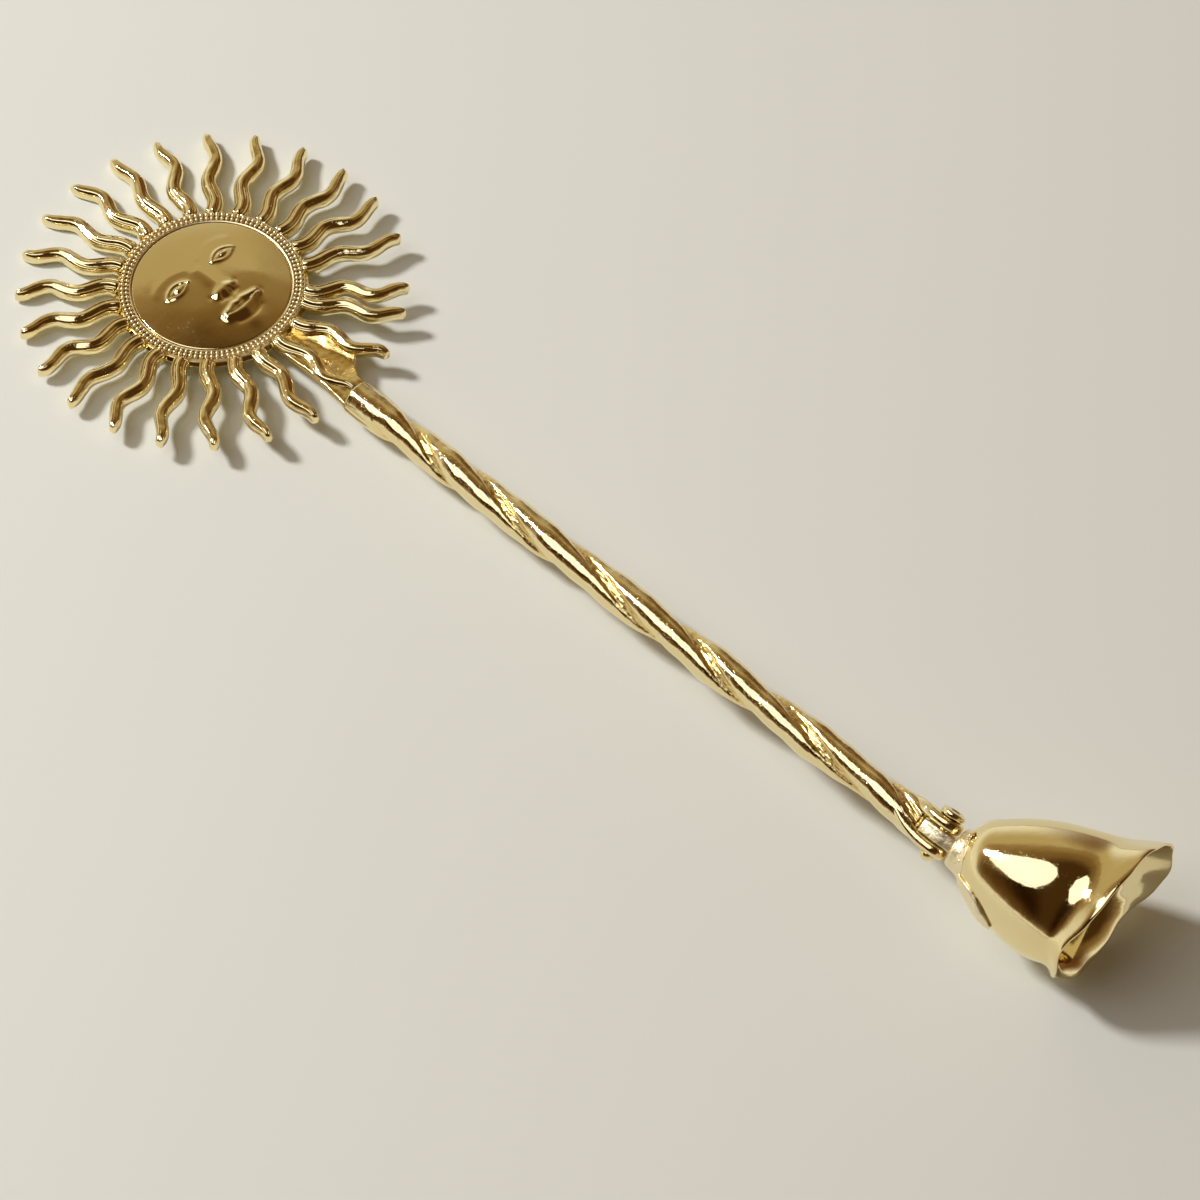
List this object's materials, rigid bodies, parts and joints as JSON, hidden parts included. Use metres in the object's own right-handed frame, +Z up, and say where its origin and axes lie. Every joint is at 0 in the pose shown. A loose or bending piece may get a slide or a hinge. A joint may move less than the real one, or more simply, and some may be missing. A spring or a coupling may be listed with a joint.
{
  "type": "candle snuffer",
  "caption": "Candle snuffer with a sun-face medallion in wavy rays at the top, a twisted handle, and a flower-shaped bell hinged on a riveted fork at its end.",
  "frame": {"origin": "bottom centre of the part's box, as it lies on a table", "axes": "+X along the handle from the sun to the bell, +Y to the left seen from above with the bell ahead, +Z up out of the sun's face side"},
  "size_m": [0.2398, 0.0708, 0.0262],
  "materials": {
    "polished_gold": "polished, pale gold plated"
  },
  "bodies": {
    "frame": {"sun_rays": "polished_gold", "bead_bezel": "polished_gold", "face_disc": "polished_gold", "handle": "polished_gold", "hinge_pin": "polished_gold"},
    "bell": {"bell_calyx": "polished_gold", "bell_cup": "polished_gold"}
  },
  "joints": [
    {"name": "bell_swing", "type": "hinge", "parent": "frame", "child": "bell", "pos_m": [0.08691, 0, 0.01381], "axis": [-0.0363, 0.809, 0.5867], "range_deg": [0, 80]}
  ]
}
